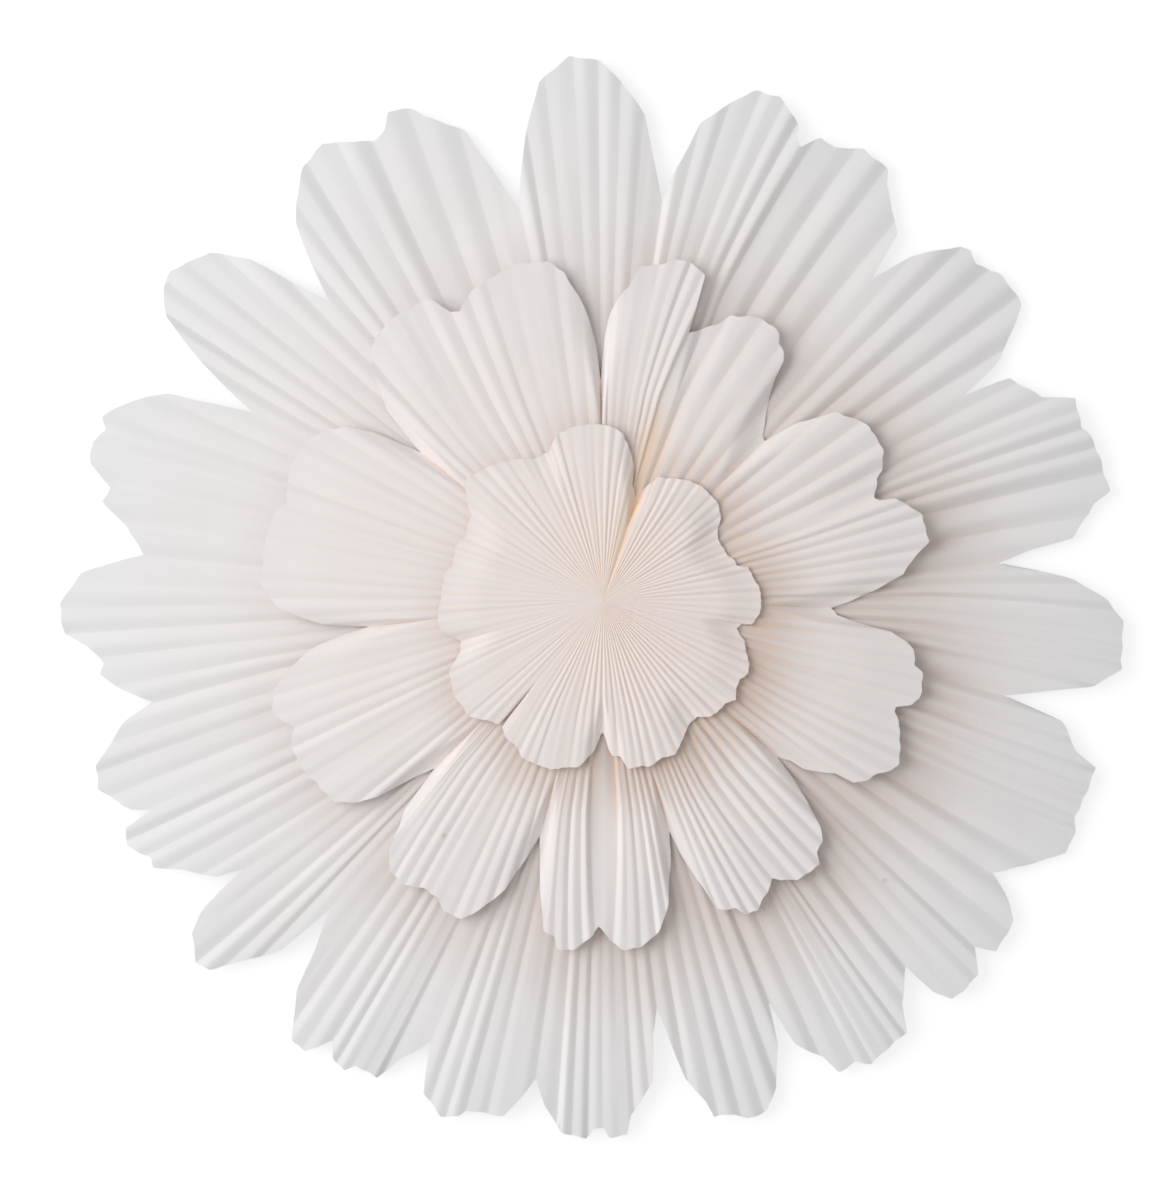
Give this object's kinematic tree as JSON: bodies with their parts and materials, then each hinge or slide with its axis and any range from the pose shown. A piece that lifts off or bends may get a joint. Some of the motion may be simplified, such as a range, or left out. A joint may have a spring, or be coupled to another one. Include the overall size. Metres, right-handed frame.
{
  "type": "paper christmas star",
  "caption": "Round white paper star of accordion-folded fans in three stacked tiers, with petal-cut rims, on round backing cards.",
  "frame": {"origin": "middle of the back card's rear face, on the axis of the hub", "axes": "+Z out of the star towards the viewer, +Y up in the pictured view, +X right"},
  "size_m": [0.3933, 0.3985, 0.0172],
  "materials": {
    "paper": "matt off-white uncoated paper, creased in an accordion fold",
    "card": "matt off-white card"
  },
  "bodies": {
    "root": {"back_card": "card", "outer_fan_1": "paper", "outer_fan_2": "paper", "outer_fan_3": "paper", "outer_fan_4": "paper", "outer_fan_5": "paper", "outer_fan_6": "paper", "outer_fan_7": "paper", "outer_fan_8": "paper", "outer_fan_9": "paper", "middle_card": "card", "middle_fan_1": "paper", "middle_fan_2": "paper", "middle_fan_3": "paper", "middle_fan_4": "paper", "middle_fan_5": "paper", "middle_fan_6": "paper", "middle_fan_7": "paper", "middle_fan_8": "paper", "middle_fan_9": "paper", "inner_card": "card", "inner_fan_1": "paper", "inner_fan_2": "paper", "inner_fan_3": "paper", "inner_fan_4": "paper", "inner_fan_5": "paper", "inner_fan_6": "paper", "inner_fan_7": "paper", "inner_fan_8": "paper", "inner_fan_9": "paper"}
  },
  "joints": []
}
